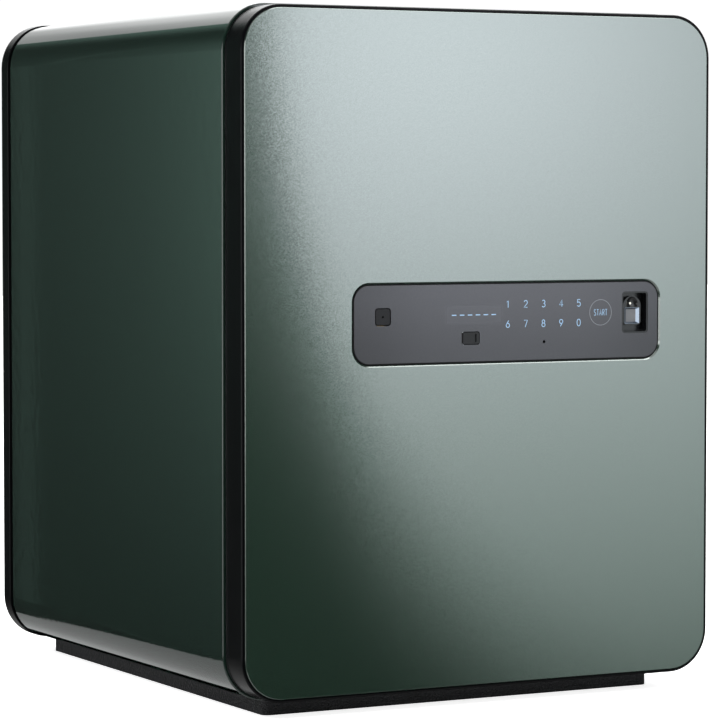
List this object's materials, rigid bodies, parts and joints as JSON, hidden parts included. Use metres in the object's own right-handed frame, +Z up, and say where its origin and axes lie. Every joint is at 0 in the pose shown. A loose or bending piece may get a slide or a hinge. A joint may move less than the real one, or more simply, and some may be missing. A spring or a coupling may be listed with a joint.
{
  "type": "gun safe",
  "caption": "Compact fire-resistant home safe with rounded body, hinged door, motor-driven bolts, fingerprint and touch-key lock, inner shelf and anchor holes.",
  "frame": {"origin": "centre of the footprint, on the floor the base pads rest on", "axes": "+Z up; +Y towards the back, so the door faces -Y; +X to the right as seen from the front, on the hinge side"},
  "size_m": [0.412, 0.46, 0.529],
  "materials": {
    "shell_paint": "gloss",
    "door_paint": "satin",
    "black_trim": "satin",
    "anodised_grey": "satin",
    "dark_plastic": "matte",
    "cast_insulation": "matte",
    "bare_steel": "satin",
    "bright_bolt": "polished",
    "inner_paint": "matte",
    "brass": "satin",
    "black_rubber": "matte",
    "felt": "matte",
    "board_green": "satin",
    "sensor_glass": "gloss",
    "lamp": "gloss",
    "cell_jacket": "gloss",
    "cable": "satin",
    "cover_plastic": "satin"
  },
  "bodies": {
    "cabinet": {"outer_shell": "shell_paint", "rear_trim_ring": "black_trim", "rear_panel": "shell_paint", "rear_panel_screws": "bare_steel", "fire_insulation": "cast_insulation", "inner_liner": "inner_paint", "strike_plate": "bare_steel", "front_frame": "inner_paint", "shelf_pegs": "bare_steel", "shelf": "inner_paint", "shelf_mat": "felt", "floor_mat": "felt", "plinth": "dark_plastic", "base_pads": "black_rubber", "plinth_screws": "bare_steel", "hinge_brackets": "bare_steel", "hinge_screws": "bare_steel", "hinge_pins": "bright_bolt"},
    "door": {"door_hinge_blocks": "bare_steel", "hinge_bushes": "brass", "door_trim_ring": "black_trim", "door_panel": "door_paint", "door_core": "cast_insulation", "door_back_plate": "inner_paint", "door_seal": "black_rubber", "door_tray": "inner_paint", "door_inner_cover": "cover_plastic", "cover_posts": "dark_plastic", "inner_cover_screws": "bare_steel", "control_plate": "anodised_grey", "control_housing": "black_trim", "control_board": "board_green", "buzzer": "dark_plastic", "finger_guide": "black_trim", "fingerprint_sensor": "sensor_glass", "sensor_bezel": "bright_bolt", "port_pin": "bare_steel", "status_led": "lamp", "key_cylinder": "brass", "power_port": "bare_steel", "battery_box": "dark_plastic", "batteries": "cell_jacket", "button_board": "board_green", "bolt_guides": "dark_plastic", "lock_motor": "bare_steel", "motor_bracket": "bare_steel", "wiring_harness": "cable"},
    "bolt_carriage": {"locking_bolts": "bright_bolt", "bolt_nuts": "bare_steel", "bolt_bar": "bare_steel", "drive_rack": "bare_steel"},
    "pinion": {"drive_pinion": "brass", "motor_shaft": "bare_steel"},
    "key_cover": {"key_cover": "dark_plastic"},
    "key_plug": {"key_plug": "brass"},
    "port_cover": {"power_port_cover": "dark_plastic"},
    "battery_cover": {"battery_cover": "cover_plastic"},
    "enrol_button": {"enrol_button": "black_rubber"}
  },
  "joints": [
    {"name": "door_swing", "type": "hinge", "parent": "cabinet", "child": "door", "pos_m": [0.19, -0.2165, 0.27], "axis": [0, 0, 1], "range_deg": [0, 95]},
    {"name": "bolt_throw", "type": "slide", "parent": "door", "child": "bolt_carriage", "axis": [-1, 0, 0], "range_m": [0, 0.018]},
    {"name": "pinion_turn", "type": "hinge", "parent": "door", "child": "pinion", "pos_m": [-0.06, -0.182, 0.315], "axis": [0, 1, 0], "range_deg": [0, 115]},
    {"name": "key_cover_pull", "type": "slide", "parent": "door", "child": "key_cover", "axis": [0, -1, 0], "range_m": [0, 0.015]},
    {"name": "key_turn", "type": "hinge", "parent": "door", "child": "key_plug", "pos_m": [-0.0863, -0.21, 0.2963], "axis": [0, 1, 0], "range_deg": [0, 90]},
    {"name": "port_flap", "type": "hinge", "parent": "door", "child": "port_cover", "pos_m": [-0.01745, -0.2286, 0.2791], "axis": [0, 0, -1], "range_deg": [0, 90]},
    {"name": "battery_cover_pull", "type": "slide", "parent": "door", "child": "battery_cover", "axis": [0, 1, 0], "range_m": [0, 0.02]},
    {"name": "enrol_press", "type": "slide", "parent": "door", "child": "enrol_button", "axis": [0, -1, 0], "range_m": [0, 0.0015]}
  ],
  "couplings": [
    {"joint": "pinion_turn", "follows": "bolt_throw", "rad_per_m": 111.11}
  ]
}
